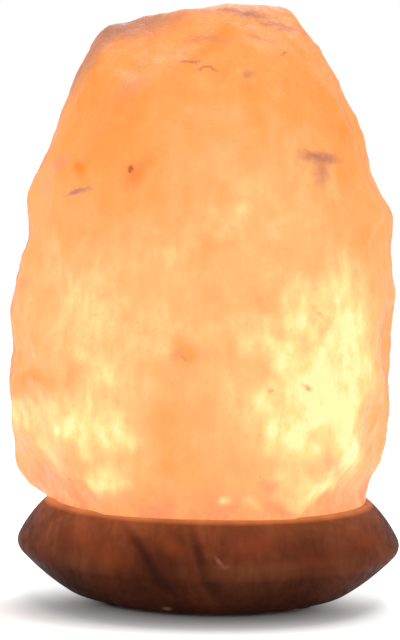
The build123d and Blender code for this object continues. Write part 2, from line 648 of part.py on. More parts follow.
with BuildPart() as terminal_screws:
    with BuildSketch(TERMINAL_FRONT):
        with Locations(CLAMP_PLACES):
            Circle(CLAMP_HEAD_RADIUS)
    extrude(amount=CLAMP_HEAD_HEIGHT)
    with BuildSketch(TERMINAL_FRONT):
        with Locations(CLAMP_PLACES):
            Circle(CLAMP_RADIUS)
    extrude(amount=WIRE_HOLE_RADIUS - TERMINAL_WIDTH / 2)
    with BuildSketch(TERMINAL_FRONT.offset(CLAMP_HEAD_HEIGHT)):
        with Locations(CLAMP_PLACES):
            Rectangle(2 * (CLAMP_HEAD_RADIUS + SLIP), SLOT_WIDTH)
    extrude(amount=-SLOT_DEPTH, mode=Mode.SUBTRACT)

# ---- the spring clip: a band round the barrel with two ears, and an arm that flexes from each --------------
with BuildPart() as clip_band:
    with BuildSketch(level(BAND_BOTTOM)):
        Circle(BAND_BORE + STRIP_THICKNESS)
        Circle(BAND_BORE, mode=Mode.SUBTRACT)
    extrude(amount=BAND_HEIGHT)
    with BuildSketch(level(PIVOT_HEIGHT)):
        with Locations((-PIVOT_REACH, 0), (PIVOT_REACH, 0)):
            Rectangle(STRIP_THICKNESS, STRIP_WIDTH)
    extrude(amount=BAND_TOP - PIVOT_HEIGHT)
    with BuildSketch(Plane.XZ):
        with Locations((-PIVOT_REACH, PIVOT_HEIGHT), (PIVOT_REACH, PIVOT_HEIGHT)):
            Circle(STRIP_THICKNESS / 2 + HINGE_PLAY)
    extrude(amount=STRIP_WIDTH, both=True, mode=Mode.SUBTRACT)

clip_arms = {}
for side, arm_name in ((-1, "clip_arm_left"), (1, "clip_arm_right")):
    with BuildPart() as clip_arm:
        with BuildSketch(Plane.XZ):
            with BuildLine():
                FilletPolyline(
                    (side * PIVOT_REACH, PIVOT_HEIGHT),
                    (side * BULGE_REACH, BULGE_HEIGHT),
                    (side * WAIST_REACH, TAB_HEIGHT),
                    (side * (WAIST_REACH + TAB_LENGTH), TAB_HEIGHT - TAB_DROP),
                    radius=STRIP_BEND,
                )
            trace(line_width=STRIP_THICKNESS)
            with Locations((side * PIVOT_REACH, PIVOT_HEIGHT)):
                Circle(STRIP_THICKNESS / 2)
        extrude(amount=STRIP_WIDTH / 2, both=True)
    clip_arms[arm_name] = clip_arm

# ---- the bulb ----------------------------------------------------------------------------------------------
with BuildPart() as bulb_contact:
    with BuildSketch(level(BULB_BOTTOM)):
        Circle(BUTTON_RADIUS)
    extrude(amount=BUTTON_HEIGHT)
    fillet(bulb_contact.edges().sort_by(Axis.Z)[0], BUTTON_ROUND)

with BuildPart() as bulb_insulator:
    with BuildSketch(level(BULB_BOTTOM + BUTTON_HEIGHT)):
        Circle(INSULATOR_RADIUS)
    with BuildSketch(level(BULB_CAP_BOTTOM)):
        Circle(BULB_CAP_RADIUS)
    loft()

with BuildPart() as bulb_cap:
    with BuildSketch(level(BULB_CAP_BOTTOM)):
        Circle(BULB_CAP_RADIUS)
        Circle(BULB_CAP_RADIUS - BULB_CAP_WALL, mode=Mode.SUBTRACT)
    extrude(amount=BULB_CAP_LENGTH)
    cap_ridge = ridge_path(BULB_HELIX_RADIUS, BULB_THREAD_BOTTOM, BULB_THREAD_TURNS)
    with BuildSketch(Plane(origin=cap_ridge @ 0, z_dir=cap_ridge % 0)):
        Circle(THREAD_ROUND)
    sweep(path=cap_ridge, is_frenet=True)

with BuildPart() as bulb_glass:
    for inset, mode in ((0.0, Mode.ADD), (GLASS_WALL, Mode.SUBTRACT)):
        with BuildSketch(Plane.XZ):
            with BuildLine():
                neck_foot = (NECK_RADIUS - inset, NECK_BOTTOM)
                neck_top = (NECK_RADIUS - inset, BULB_CAP_TOP)
                widest = (BULB_RADIUS - inset, GLASS_CENTRE)
                crown = (0, BULB_TOP - inset)
                Polyline(crown, (0, NECK_BOTTOM), neck_foot, neck_top)
                Spline(neck_top, widest, tangents=((0, 1), (0, 1)))
                RadiusArc(widest, crown, -(BULB_RADIUS - inset))
            make_face()
        revolve(axis=Axis.Z, mode=mode)

with BuildPart() as bulb_stem:
    with BuildSketch(Plane.XZ):
        with BuildLine():
            flare = NECK_RADIUS - GLASS_WALL - GRIP
            Polyline(
                (0, NECK_BOTTOM),
                (flare, NECK_BOTTOM),
                (flare, NECK_BOTTOM + STEM_FLARE),
                (STEM_RADIUS, NECK_BOTTOM + STEM_FLARE + STEM_TAPER),
                (STEM_RADIUS, STEM_TOP),
                (0, STEM_TOP),
                close=True,
            )
        make_face()
    revolve(axis=Axis.Z)
    with BuildSketch(level(NECK_BOTTOM)):
        with Locations(LEAD_PLACES):
            Circle(LEAD_RADIUS + GRIP)
    extrude(amount=STEM_HEIGHT, mode=Mode.SUBTRACT)

with BuildPart() as bulb_leads:
    for side in (-1, 1):
        with BuildLine() as lead_path:
            Polyline(
                (side * LEAD_PLACE, 0, BULB_CAP_BOTTOM),
                (side * LEAD_PLACE, 0, STEM_TOP + LEAD_RISE),
                (side * LEAD_SPREAD, 0, GLASS_CENTRE + FILAMENT_RADIUS + LEAD_RADIUS),
            )
        with BuildSketch(level(BULB_CAP_BOTTOM)):
            with Locations((side * LEAD_PLACE, 0)):
                Circle(LEAD_RADIUS)
        sweep(path=lead_path.wire(), transition=Transition.RIGHT)

with BuildPart() as bulb_supports:
    for side in (-1, 1):
        low_end = Vector(0, side * SUPPORT_SPREAD / 2, STEM_TOP)
        high_end = Vector(side * SUPPORT_SPREAD, 0, SUPPORT_TOP)
        with BuildSketch(Plane(origin=low_end, z_dir=high_end - low_end)):
            Circle(SUPPORT_RADIUS)
        extrude(amount=(high_end - low_end).length)

with BuildPart() as bulb_filament:
    coil_half = LEAD_SPREAD - LEAD_RADIUS - FILAMENT_WIRE
    coil = Edge.make_helix(
        FILAMENT_PITCH, 2 * coil_half, FILAMENT_RADIUS, center=(-coil_half, 0, GLASS_CENTRE), normal=(1, 0, 0)
    )
    with BuildSketch(Plane(origin=coil @ 0, z_dir=coil % 0)):
        Circle(FILAMENT_WIRE)
    sweep(path=coil, is_frenet=True)

# ---- write the pieces --------------------------------------------------------------------------------------
pieces = {
    "salt_crystal": salt_crystal,
    "wood_base": wood_base,
    "felt_pads": felt_pads,
    "crystal_screws": crystal_screws,
    "screw_washers": screw_washers,
    "screw_anchors": screw_anchors,
    "holder_cap": holder_cap,
    "holder_barrel": holder_barrel,
    "cord_gland": cord_gland,
    "contact_carrier": contact_carrier,
    "screw_shell": screw_shell,
    "centre_contact": centre_contact,
    "contact_rivets": contact_rivets,
    "terminal_blocks": terminal_blocks,
    "terminal_screws": terminal_screws,
    "clip_band": clip_band,
    **clip_arms,
    "bulb_contact": bulb_contact,
    "bulb_insulator": bulb_insulator,
    "bulb_cap": bulb_cap,
    "bulb_glass": bulb_glass,
    "bulb_stem": bulb_stem,
    "bulb_leads": bulb_leads,
    "bulb_supports": bulb_supports,
    "bulb_filament": bulb_filament,
}
os.makedirs("parts", exist_ok=True)
for name, piece in pieces.items():
    piece.part.label = name
    export_step(piece.part, f"parts/{name}.step")
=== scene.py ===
"""Looks of the salt crystal lamp: a hewn, glowing block of rock salt on a dark turned wooden base, with its
bulb and holder. Metres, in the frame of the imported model. The lamp faces -Y."""
from math import pi, radians

import bpy
import numpy as np
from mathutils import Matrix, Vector


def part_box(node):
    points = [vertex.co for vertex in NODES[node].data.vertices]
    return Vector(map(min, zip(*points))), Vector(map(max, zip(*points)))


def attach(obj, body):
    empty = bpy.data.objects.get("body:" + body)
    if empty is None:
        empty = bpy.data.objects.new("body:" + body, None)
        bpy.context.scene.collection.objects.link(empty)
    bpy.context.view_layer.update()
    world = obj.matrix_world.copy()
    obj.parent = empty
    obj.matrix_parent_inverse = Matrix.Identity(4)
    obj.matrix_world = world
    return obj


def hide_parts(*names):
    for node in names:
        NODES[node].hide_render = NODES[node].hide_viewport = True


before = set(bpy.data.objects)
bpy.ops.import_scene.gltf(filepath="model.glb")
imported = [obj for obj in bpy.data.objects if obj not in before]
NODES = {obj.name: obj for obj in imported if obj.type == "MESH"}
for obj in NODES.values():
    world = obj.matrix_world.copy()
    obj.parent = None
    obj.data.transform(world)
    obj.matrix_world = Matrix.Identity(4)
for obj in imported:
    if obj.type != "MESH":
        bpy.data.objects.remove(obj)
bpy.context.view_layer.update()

# ---- sizes, from the frame where it has them -------------------------------------------------------------
MM = 0.001
SALT_LOW, SALT_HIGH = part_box("salt_crystal")
WOOD_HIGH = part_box("wood_base")[1]
LEDGE_HEIGHT = WOOD_HIGH.z  # of the base's flat top, on which the salt stands
RIM_REACH = WOOD_HIGH.x  # of the base's widest rim
BORE_RADIUS, BORE_DEPTH = 25.0 * MM, 95.0 * MM  # of the bulb's room in the salt
BORE_TOP = SALT_LOW.z + BORE_DEPTH


# ---- numpy surfaces --------------------------------------------------------------------------------------
WAVE_COUNT = 28
WAVE_SPREAD = 0.7, 1.4  # of the waves' numbers, as shares of the one that the length gives
KEPT_SHARE = 0.4  # of a point's own place in one softening


def waves(points, length, seed):
    """A smooth random field at the points: a sum of sine waves with random directions and phases and
    wavelengths near the given length, scaled to about unit spread."""
    draw = np.random.default_rng(seed)
    ways = draw.normal(size=(WAVE_COUNT, 3))
    ways /= np.linalg.norm(ways, axis=1)[:, None]
    ways *= (2 * pi / length) * draw.uniform(*WAVE_SPREAD, WAVE_COUNT)[:, None]
    phases = draw.uniform(0, 2 * pi, WAVE_COUNT)
    return np.sin(points @ ways.T + phases).sum(axis=1) * np.sqrt(2 / WAVE_COUNT)


def scoops(points, seeds, radii, depths):
    """Shallow round scoops left by a chisel: each is as deep as its depth times one minus the squared share
    of its radius, and where scoops meet the deeper one counts, which leaves soft ridges."""
    gaps = np.linalg.norm(points[:, None, :] - seeds[None], axis=2)
    bowls = depths * (1 - (gaps / radii) ** 2)
    return np.maximum(bowls.max(axis=1), 0)


def rings(reach, height, columns):
    """Level rings of points round the upright axis: one ring for each reach and height."""
    turn = np.linspace(0, 2 * pi, columns, endpoint=False)
    return np.stack([reach[:, None] * np.cos(turn), reach[:, None] * np.sin(turn),
                     np.repeat(height[:, None], columns, axis=1)], axis=-1)


def ring_faces(rows, columns):
    """Quads between the rows of a grid that closes round, with a fan at each end on a pole vertex."""
    j = np.arange(columns)
    k = (j + 1) % columns
    i = np.arange(rows - 1)[:, None] * columns + 1
    quads = np.stack([i + j, i + k, i + columns + k, i + columns + j], axis=-1).reshape(-1, 4)
    top = rows * columns + 1
    low_fan = np.stack([np.zeros_like(j), 1 + k, 1 + j], axis=-1)
    high_fan = np.stack([top + 0 * j, top - columns + j, top - columns + k], axis=-1)
    return quads, low_fan, high_fan


def put_mesh(name, vertices, faces):
    """A smooth-shaded object at the origin from arrays of vertices and faces of three or four corners."""
    mesh = bpy.data.meshes.new(name)
    loops = np.concatenate([block.ravel() for block in faces])
    totals = np.concatenate([np.full(len(block), block.shape[1]) for block in faces])
    starts = np.concatenate([[0], np.cumsum(totals)[:-1]])
    mesh.vertices.add(len(vertices))
    mesh.vertices.foreach_set("co", np.ascontiguousarray(vertices, dtype=np.float32).ravel())
    mesh.loops.add(len(loops))
    mesh.loops.foreach_set("vertex_index", loops.astype(np.int32))
    mesh.polygons.add(len(totals))
    mesh.polygons.foreach_set("loop_start", starts.astype(np.int32))
    mesh.polygons.foreach_set("loop_total", totals.astype(np.int32))
    mesh.update(calc_edges=True)
    mesh.validate()
    mesh.shade_smooth()
    piece = bpy.data.objects.new(name, mesh)
    bpy.context.scene.collection.objects.link(piece)
    return piece


def grid_normals(grid):
    """Unit normals of a grid that closes round: the cross product of its steps round and along."""
    along = np.gradient(grid, axis=0)
    round_ = np.roll(grid, -1, axis=1) - np.roll(grid, 1, axis=1)
    normals = np.cross(round_, along)
    return normals / np.maximum(np.linalg.norm(normals, axis=2, keepdims=True), 1e-12)


def softened(grid, passes):
    """The grid with each inner point moved towards the mean of its four neighbours, passes times."""
    for _ in range(passes):
        around = (np.roll(grid, 1, axis=1) + np.roll(grid, -1, axis=1))[1:-1] + grid[:-2] + grid[2:]
        grid[1:-1] = KEPT_SHARE * grid[1:-1] + (1 - KEPT_SHARE) / 4 * around
    return grid


# ---- the salt crystal's skin -----------------------------------------------------------------------------
COLUMNS = 400
SKIRT_ROWS, SIDE_ROWS, DOME_ROWS = 5, 120, 66
CEILING_ROWS, BORE_ROWS, FOOT_ROWS = 6, 29, 10
SKIRT_STEP = 2.0 * MM  # between the rows that hang below the block
SIDE_START = SALT_LOW.z + 0.3 * MM
DOME_START = 118.0 * MM
DOME_TOP = SALT_HIGH.z + 10.0 * MM
START_REACH = 84.0 * MM
EDGE_SHARE = 0.996  # of the lowest row's reach, at the foot's sharp edge
FOOT_REACH = 53.6 * MM  # of the round foot at the ledge
FOOT_RISE = 12.0 * MM  # over which the foot runs out
FOOT_LEAN = 2.5 * MM  # by which it is wider there
FOOT_POWER = 1.5  # of the curve by which the foot runs out


def wrap_start():
    """A round-ended post about the block: the angle runs round it, and the rows climb its side and then
    close over its dome, whose height is a little over the block's. Its lowest rows hang below the block,
    which keeps the next ones facing straight outwards."""
    skirt = SALT_LOW.z - SKIRT_STEP * np.arange(SKIRT_ROWS, 0, -1)
    side = np.linspace(SIDE_START, DOME_START, SIDE_ROWS, endpoint=False)
    lean = np.linspace(0, pi / 2, DOME_ROWS + 1)[:-1]
    reach = np.concatenate([np.full(SKIRT_ROWS + SIDE_ROWS, START_REACH), START_REACH * np.cos(lean)])
    height = np.concatenate([skirt, side, DOME_START + (DOME_TOP - DOME_START) * np.sin(lean)])
    return rings(reach, height, COLUMNS)


def pulled_onto(grid, target):
    """The grid's points dropped onto the target along the start surface's normals, by a shrinkwrap."""
    rows = len(grid)
    top = np.array([[0, 0, DOME_TOP]])
    low = np.array([[0, 0, grid[0, 0, 2]]])
    wrap = put_mesh("wrap", np.concatenate([low, grid.reshape(-1, 3), top]), ring_faces(rows, COLUMNS))
    press = wrap.modifiers.new("press", "SHRINKWRAP")
    press.target, press.wrap_method = target, "PROJECT"
    press.use_negative_direction, press.use_positive_direction = True, False
    got = wrap.evaluated_get(bpy.context.evaluated_depsgraph_get()).to_mesh()
    flat = np.empty(len(got.vertices) * 3, dtype=np.float32)
    got.vertices.foreach_get("co", flat)
    bpy.data.meshes.remove(wrap.data)
    flat = flat.reshape(-1, 3).astype(float)
    return flat[1:-1].reshape(rows, COLUMNS, 3), flat[-1]


# soft swells where the block's outline is fuller: middle, half size and rise (mm)
SWELLS = [
    ((-60, 0, 38), (16, 60, 6), 1.6),
    ((-68, 0, 71), (16, 60, 13), 1.6),
    ((-66, 0, 93), (16, 60, 12), 0.9),
    ((-58, 0, 127), (16, 60, 11), 0.9),
    ((-52, 0, 143), (14, 60, 11), 0.7),
    ((20, 0, 194), (13, 30, 6), 2.4),
    ((60, 0, 128), (10, 60, 5), 1.1),
    ((50, 0, 132), (14, 60, 10), 0.7),
]


def swells(points):
    """Broad low bulges: each is a bell curve of the distance from its middle, in its own half sizes."""
    total = np.zeros(len(points))
    for middle, half, rise in SWELLS:
        gap = (points / MM - np.array(middle)) / np.array(half)
        total += rise * MM * np.exp(-(gap ** 2).sum(axis=1))
    return total


SCOOP_COUNT, SCOOP_SEED = 90, 31
SCOOP_RADII = 7, 20  # mm
SCOOP_DEPTHS = 0.25, 0.8  # mm
# the block's rolling waves and fine grain: rise and length (mm), seed
ROLLS = [(0.34, 24, 5), (0.16, 9, 6), (0.07, 3.6, 7)]
OUTWARDS = 0.15 * MM
CALM_HEIGHT = 9.0 * MM  # above the ledge, over which the relief grows to its full rise


def hewn(grid):
    """The grid pushed along its normals: swells, broad scoops, waves of two lengths and a fine grain."""
    points = grid.reshape(-1, 3)
    draw = np.random.default_rng(SCOOP_SEED)
    seeds = points[draw.integers(0, len(points), SCOOP_COUNT)]
    radii = draw.uniform(*SCOOP_RADII, SCOOP_COUNT) * MM
    depths = draw.uniform(*SCOOP_DEPTHS, SCOOP_COUNT) * MM
    push = OUTWARDS + swells(points) - scoops(points, seeds, radii, depths)
    for rise, length, seed in ROLLS:
        push += rise * MM * waves(points, length * MM, seed)
    foot = np.clip((points[:, 2] - SALT_LOW.z) / CALM_HEIGHT, 0, 1)
    return grid + grid_normals(grid) * (push * foot).reshape(grid.shape[:2])[..., None]


# the waves that shift the clouds' edges: rise and length (mm), first seed
CLOUD_SHIFTS = [(2.2, 26, 40), (1.0, 8, 50)]
# soft lit or shaded clouds in the salt: centre, half size (mm), change of the glow, lean
SALT_CLOUDS = [
    ((-40, -42, 50), (9, 24, 8), 0.14, 0.0),
    ((34, -46, 50), (8, 24, 8), 0.14, 0.0),
    ((-19, -52, 42), (7, 24, 6), 0.12, 0.0),
    ((-36.5, -44, 88), (38, 44, 40), 0.24, 0.0),
    ((-32, -46, 72), (22, 34, 17), 0.18, 0.0),
    ((-43, -40, 56), (28, 44, 20), 0.38, 0.0),
    ((-43.5, -40, 53.5), (10, 34, 8), 0.22, 0.0),
    ((-27.6, -48, 57), (13, 34, 11), 0.26, 0.2),
    ((-29.8, -48, 43), (8, 26, 8), 0.34, 0.0),
    ((-60, -14, 61), (13, 44, 15), 0.34, 0.0),
    ((-53, -30, 71), (17, 34, 9), -0.34, 0.3),
    ((-13, -54, 62), (14, 34, 36), -0.07, 0.1),
    ((-10, -54, 80), (10, 28, 8), -0.28, 0.0),
    ((-3, -54, 45), (13, 30, 18), -0.06, 0.0),
    ((34, -46, 74), (34, 44, 54), 0.40, 0.0),
    ((37, -44, 66), (16, 40, 30), 0.24, 0.0),
    ((24, -50, 86), (18, 34, 22), 0.12, 0.0),
    ((42, -40, 99), (12, 44, 34), 0.24, -0.25),
    ((15, -52, 67), (15, 34, 22), 0.16, 0.0),
    ((25, -50, 55), (14, 34, 18), 0.26, 0.0),
    ((34.5, -46, 49), (7, 34, 13), -0.20, -0.2),
    ((45, -38, 52), (10, 40, 27), 0.32, 0.0),
    ((66, 0, 80), (14, 64, 66), -0.26, 0.0),
    ((34, -46, 41), (9, 26, 7), 0.34, 0.0),
    ((3, -54, 36), (7, 22, 5), 0.30, 0.0),
    ((14.5, -54, 35.5), (5, 22, 4), 0.20, 0.0),
    ((-13.5, -54, 112), (11, 30, 16), 0.18, 0.5),
    ((20, -52, 74), (11, 28, 11), 0.16, 0.0),
    ((23, -50, 98), (9, 28, 13), 0.18, 0.0),
    ((-22, -52, 57), (9, 28, 11), 0.22, 0.0),
    ((8, -54, 110), (22, 34, 14), 0.10, 0.0),
    ((-40, -42, 100), (20, 40, 20), 0.10, 0.0),
    ((-41, -42, 49), (10, 28, 8), 0.14, 0.0),
    ((6, -54, 123), (15, 28, 6), 0.18, -0.9),
    ((16, -50, 128), (44, 50, 34), 0.12, 0.0),
    ((-34, -40, 150), (26, 64, 28), -0.14, 0.0),
    ((42, -34, 150), (20, 64, 32), -0.10, 0.0),
    ((4, -50, 165), (26, 50, 30), 0.07, 0.0),
    ((0, 52, 66), (30, 40, 34), 0.22, 0.3),
    ((-34, 46, 52), (20, 32, 16), 0.26, 0.0),
    ((38, 44, 58), (17, 32, 20), 0.24, -0.2),
    ((14, 56, 92), (22, 32, 16), -0.18, 0.5),
    ((-30, 44, 112), (24, 32, 14), 0.10, -0.4),
]


def cloud_glow(points):
    """How much the clouds change the glow at each point: every cloud is a soft ellipsoid whose middle line
    leans across as it rises, and the points are first shifted along each axis by waves of two lengths, so
    that no edge is even."""
    bent = points / MM
    for rise, length, seed in CLOUD_SHIFTS:
        for axis in range(3):
            bent[:, axis] += rise * waves(points, length * MM, seed + axis)
    total = np.zeros(len(points))
    for centre, half, change, lean in SALT_CLOUDS:
        away = bent - np.array(centre)
        away[:, 0] -= lean * away[:, 2]
        gap = np.clip(np.linalg.norm(away / np.array(half), axis=1), 0, 1)
        total += change * (1 - gap * gap * (3 - 2 * gap))
    return total


def footed(grid):
    """The lowest rows brought out towards a round foot where flat cuts leave the ledge bare: by all of the
    gap at the bottom, and by less and less above it."""
    reach = np.linalg.norm(grid[..., :2], axis=-1)
    rise = np.clip((grid[..., 2] - SALT_LOW.z) / FOOT_RISE, 0, 1)
    gap = np.maximum(FOOT_REACH + FOOT_LEAN * rise - reach, 0)
    grown = grid.copy()
    grown[..., :2] *= (1 + gap * (1 - rise) ** FOOT_POWER / reach)[..., None]
    return grown


def crystal_skin():
    """The whole skin as one grid closed round: the bore's ceiling from its pole, the bore's wall downwards,
    the flat foot outwards, then the hewn outside up to the pole on top."""
    outside, top = pulled_onto(wrap_start(), NODES["salt_crystal"])
    outside = outside[SKIRT_ROWS:]
    edge = outside[0] * (EDGE_SHARE, EDGE_SHARE, 0.0) + (0.0, 0.0, SALT_LOW.z)
    outside = footed(hewn(softened(np.concatenate([edge[None], outside]), passes=2)))
    ceiling = np.linspace(0, BORE_RADIUS, CEILING_ROWS + 1)[1:]
    wall = np.linspace(BORE_TOP, SALT_LOW.z, BORE_ROWS + 1)[1:]
    reach = np.concatenate([ceiling, np.full(BORE_ROWS, BORE_RADIUS)])
    height = np.concatenate([np.full(CEILING_ROWS, BORE_TOP), wall])
    bore = rings(reach, height, COLUMNS)
    share = np.linspace(0, 1, FOOT_ROWS + 2)[1:-1, None, None]
    foot = bore[-1] * (1 - share) + outside[0] * share
    grid = np.concatenate([bore, foot, outside])
    corners = np.concatenate([[[0, 0, BORE_TOP]], grid.reshape(-1, 3), top[None]])
    piece = put_mesh("salt_skin", corners, ring_faces(len(grid), COLUMNS))
    layer = piece.data.attributes.new("clouds", "FLOAT", "POINT")
    layer.data.foreach_set("value", cloud_glow(corners).astype(np.float32))
    return piece


# ---- material making -------------------------------------------------------------------------------------
BLACK = (0.0, 0.0, 0.0, 1.0)


def srgb(code):
    """A linear colour from a six-digit code of the screen's red, green and blue."""
    parts = [int(code[i:i + 2], 16) / 255 for i in (0, 2, 4)]
    return (*[p / 12.92 if p <= 0.04045 else ((p + 0.055) / 1.055) ** 2.4 for p in parts], 1.0)


class Tree:
    """Builds a node tree: each call adds nodes, links or sets their inputs and gives back an output."""

    def __init__(self, tree):
        self.tree = tree

    def add(self, kind, output=0, settings=None, **inputs):
        node = self.tree.nodes.new(kind)
        for key, value in (settings or {}).items():
            setattr(node, key, value)
        for key, value in inputs.items():
            name = int(key[1:]) if key[0] == "i" and key[1:].isdigit() else key.replace("_", " ")
            self.give(node.inputs[name], value)
        return node.outputs[output]

    def give(self, socket, value):
        if isinstance(value, bpy.types.NodeSocket):
            self.tree.links.new(value, socket)
        else:
            socket.default_value = value

    def math(self, operation, a, b=0.0, c=0.0):
        return self.add("ShaderNodeMath", settings={"operation": operation}, i0=a, i1=b, i2=c)

    def times(self, a, b):
        return self.math("MULTIPLY", a, b)

    def total(self, first, *others):
        for other in others:
            first = self.math("ADD", first, other)
        return first

    def vector(self, operation, a, b=(0, 0, 0), output=0):
        return self.add("ShaderNodeVectorMath", output, settings={"operation": operation}, i0=a, i1=b)

    def length(self, vector):
        return self.vector("LENGTH", vector, output="Value")

    def axes(self, vector):
        return self.add("ShaderNodeSeparateXYZ", Vector=vector).node.outputs

    def span(self, value, low, high, out_low=0.0, out_high=1.0, smooth=True):
        """The value carried from one range to another and held at its ends."""
        kind = "SMOOTHSTEP" if smooth else "LINEAR"
        return self.add("ShaderNodeMapRange", settings={"interpolation_type": kind}, Value=value,
                        From_Min=low, From_Max=high, To_Min=out_low, To_Max=out_high)

    def noise(self, vector, scale, detail=4.0, roughness=0.55, output=0):
        return self.add("ShaderNodeTexNoise", output, Vector=vector, Scale=scale, Detail=detail,
                        Roughness=roughness)

    def wobble(self, vector, scale, detail, roughness=0.55):
        """Three noises about nought, to shift places with."""
        colour = self.noise(vector, scale, detail, roughness, output="Color")
        return self.vector("SUBTRACT", colour, (0.5, 0.5, 0.5))

    def shifted(self, place, wobble, reach):
        """The place shifted by the wobble times a reach (mm) along each axis."""
        return self.vector("ADD", place, self.vector("MULTIPLY", wobble, [r * MM for r in reach]))

    def bump(self, height, strength, distance):
        return self.add("ShaderNodeBump", Height=height, Strength=strength, Distance=distance)

    def mix(self, factor, a, b, blend="MIX"):
        node = self.tree.nodes.new("ShaderNodeMix")
        node.data_type, node.blend_type = "RGBA", blend
        for index, value in ((0, factor), (6, a), (7, b)):
            self.give(node.inputs[index], value)
        return node.outputs[2]

    def ramp(self, value, stops):
        node = self.tree.nodes.new("ShaderNodeValToRGB")
        elements = node.color_ramp.elements
        while len(elements) < len(stops):
            elements.new(0.5)
        for element, (place, code) in zip(elements, stops):
            element.position, element.color = place, srgb(code)
        self.give(node.inputs[0], value)
        return node.outputs[0]

    def place(self):
        return self.add("ShaderNodeTexCoord", "Object")

    def group(self, group, **inputs):
        node = self.tree.nodes.new("ShaderNodeGroup")
        node.node_tree = group
        for name, value in inputs.items():
            self.give(node.inputs[name], value)
        return node.outputs

    def seen_rays(self):
        """One for the rays that show a thing to the camera, also in glass and in gloss, and nought for the
        rest; then one for the camera's own rays alone."""
        rays = self.add("ShaderNodeLightPath", "Is Camera Ray").node.outputs
        seen = rays["Is Camera Ray"]
        for kind in ("Is Glossy Ray", "Is Transmission Ray"):
            seen = self.math("MAXIMUM", seen, rays[kind])
        return seen, rays["Is Camera Ray"]


def new_group(name, inputs, outputs):
    """An empty shader group with named sockets. Gives the builder, the group's inputs, its outputs and
    the group."""
    group = bpy.data.node_groups.new(name, "ShaderNodeTree")
    for label, kind, value in inputs:
        socket = group.interface.new_socket(label, in_out="INPUT", socket_type="NodeSocket" + kind)
        if value is not None:
            socket.default_value = value
    for label, kind in outputs:
        group.interface.new_socket(label, in_out="OUTPUT", socket_type="NodeSocket" + kind)
    tree = Tree(group)
    return tree, group.nodes.new("NodeGroupInput").outputs, group.nodes.new("NodeGroupOutput").inputs, group


def new_material(name, **constants):
    """A material with one Principled shader, whose plain values are given here. Gives the material, the
    builder and the shader's inputs."""
    material = bpy.data.materials.new(name)
    material.use_nodes = True
    tree = Tree(material.node_tree)
    shader = material.node_tree.nodes["Principled BSDF"].inputs
    for key, value in constants.items():
        shader[key.replace("_", " ")].default_value = value
    return material, tree, shader


# ---- effects that several materials share ----------------------------------------------------------------
def blot_group():
    """An uneven soft spot: one inside an ellipsoid about a centre and nought outside. Its middle line can
    lean across as it rises, and its edge is as uneven as the place that is given."""
    tree, given, out, group = new_group(
        "blot",
        [("Place", "Vector", None), ("Centre", "Vector", None), ("Reach", "Vector", (0.01, 0.01, 0.01)),
         ("Edge", "Float", 0.5), ("Lean", "Float", 0.0)],
        [("Mask", "Float")])
    away = tree.vector("SUBTRACT", given["Place"], given["Centre"])
    apart = tree.axes(away)
    across = tree.math("MULTIPLY_ADD", apart["Z"], tree.times(given["Lean"], -1.0), apart["X"])
    away = tree.add("ShaderNodeCombineXYZ", X=across, Y=apart["Y"], Z=apart["Z"])
    gap = tree.length(tree.vector("DIVIDE", away, given["Reach"]))
    tree.give(out["Mask"], tree.span(gap, 1.0, tree.math("SUBTRACT", 1.0, given["Edge"])))
    return group


def finish_group():
    """A worked surface: two colours mixed by a cloudy noise, a roughness that follows a finer noise, and a
    height of fine grain for the bump."""
    tree, given, out, group = new_group(
        "finish",
        [("Place", "Vector", None), ("Light", "Color", None), ("Dark", "Color", None),
         ("Scale", "Float", 100.0), ("Smooth", "Float", 0.3), ("Dull", "Float", 0.5),
         ("Dirt", "Float", 0.3)],
        [("Colour", "Color"), ("Roughness", "Float"), ("Height", "Float")])
    cloud = tree.noise(given["Place"], given["Scale"], 5.0, 0.6)
    fine = tree.noise(given["Place"], tree.times(given["Scale"], 7.0), 3.0, 0.6)
    speck = tree.span(tree.noise(given["Place"], tree.times(given["Scale"], 3.0), 2.0), 0.6, 0.72)
    colour = tree.mix(tree.span(cloud, 0.35, 0.65), given["Light"], given["Dark"])
    tree.give(out["Colour"], tree.mix(tree.times(speck, given["Dirt"]), colour, given["Dark"], "MULTIPLY"))
    rough = tree.span(tree.total(fine, tree.times(cloud, 0.4)), 0.45, 0.95)
    spread = tree.math("SUBTRACT", given["Dull"], given["Smooth"])
    tree.give(out["Roughness"], tree.total(given["Smooth"], tree.times(rough, spread)))
    tree.give(out["Height"], tree.total(fine, tree.times(cloud, 0.5)))
    return group


BLOT = blot_group()
FINISH = finish_group()


def marked(tree, tone, place, marks):
    """The tone with each mark laid on it in turn as an uneven soft spot of its own colour."""
    for centre, reach, edge, code, strength, lean in marks:
        spot = tree.group(BLOT, Place=place, Centre=[c * MM for c in centre], Reach=[r * MM for r in reach],
                          Edge=edge, Lean=lean)
        tone = tree.mix(tree.times(spot["Mask"], strength), tone, srgb(code))
    return tone


def worked(tree, shader, light, dark, scale, smooth, dull, dirt, bump_height, strength):
    """The shared worked surface put into a shader, with its bump, whose height is in millimetres."""
    made = tree.group(FINISH, Place=tree.place(), Light=srgb(light), Dark=srgb(dark), Scale=scale,
                      Smooth=smooth, Dull=dull, Dirt=dirt)
    tree.give(shader["Base Color"], made["Colour"])
    tree.give(shader["Roughness"], made["Roughness"])
    tree.give(shader["Normal"], tree.bump(made["Height"], strength, bump_height * MM))


